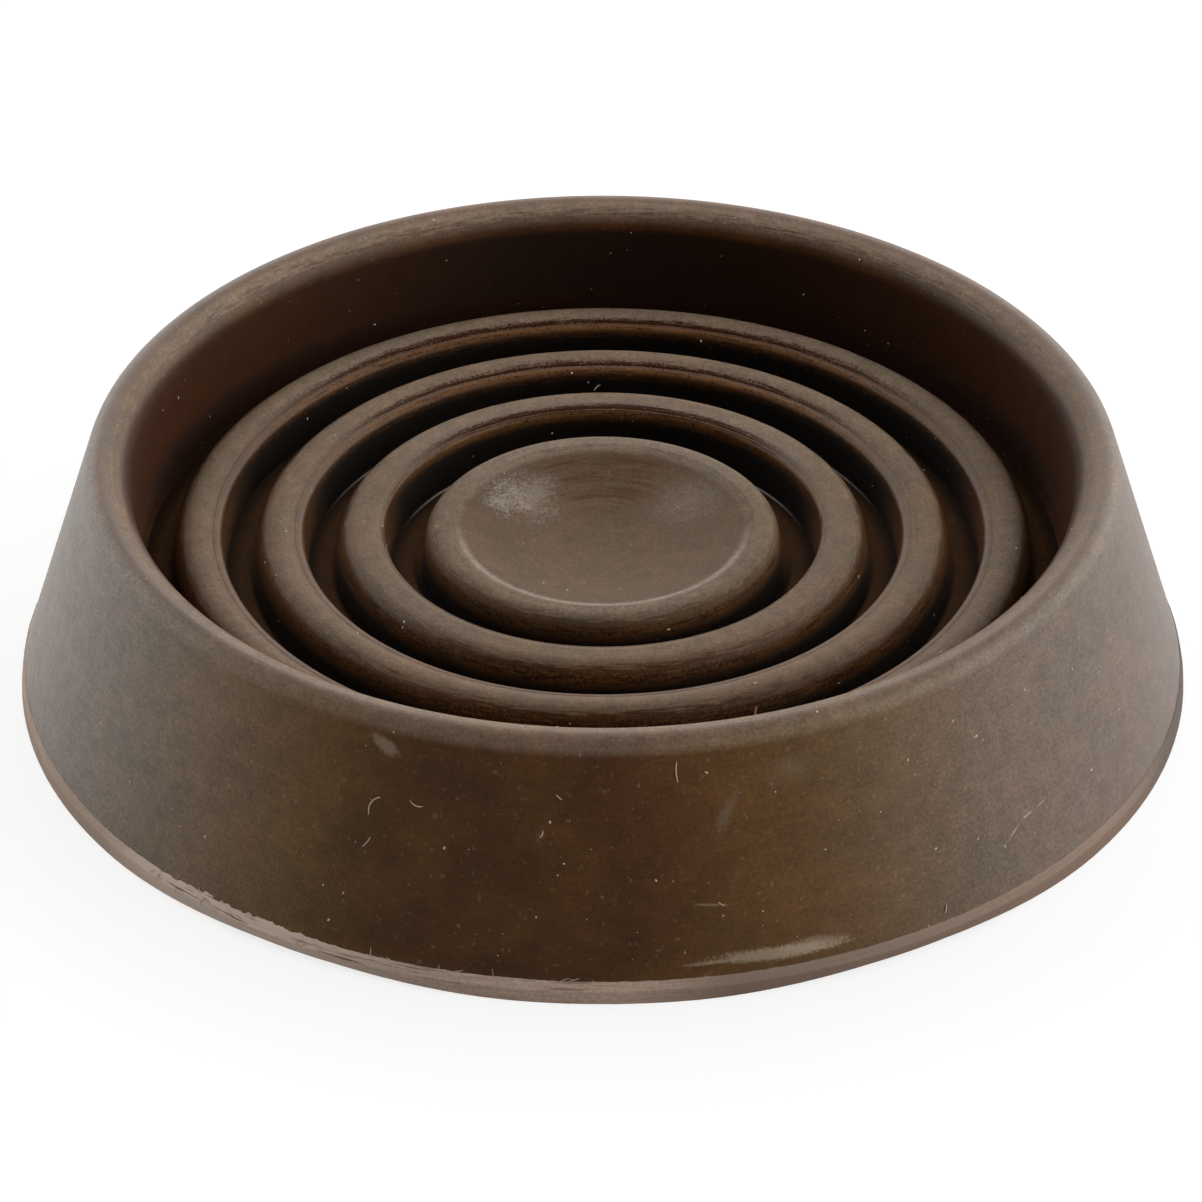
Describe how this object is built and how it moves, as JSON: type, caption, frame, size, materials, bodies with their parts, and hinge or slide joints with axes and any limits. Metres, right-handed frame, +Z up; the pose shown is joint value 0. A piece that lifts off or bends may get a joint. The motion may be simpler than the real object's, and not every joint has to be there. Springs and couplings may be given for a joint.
{
  "type": "castor cup",
  "caption": "Round moulded rubber castor cup with a flared side, a full-round rim and concentric ring ridges about a dished button; it stands under a furniture leg and guards the floor.",
  "frame": {"origin": "centre of the flat underside", "axes": "+Z up along the cup's axis, out of the open recess; X and Y lie in the floor"},
  "size_m": [0.076, 0.076, 0.0171],
  "materials": {
    "rubber": "moulded, semi-matt brown"
  },
  "bodies": {
    "root": {"castor_cup": "rubber"}
  },
  "joints": []
}
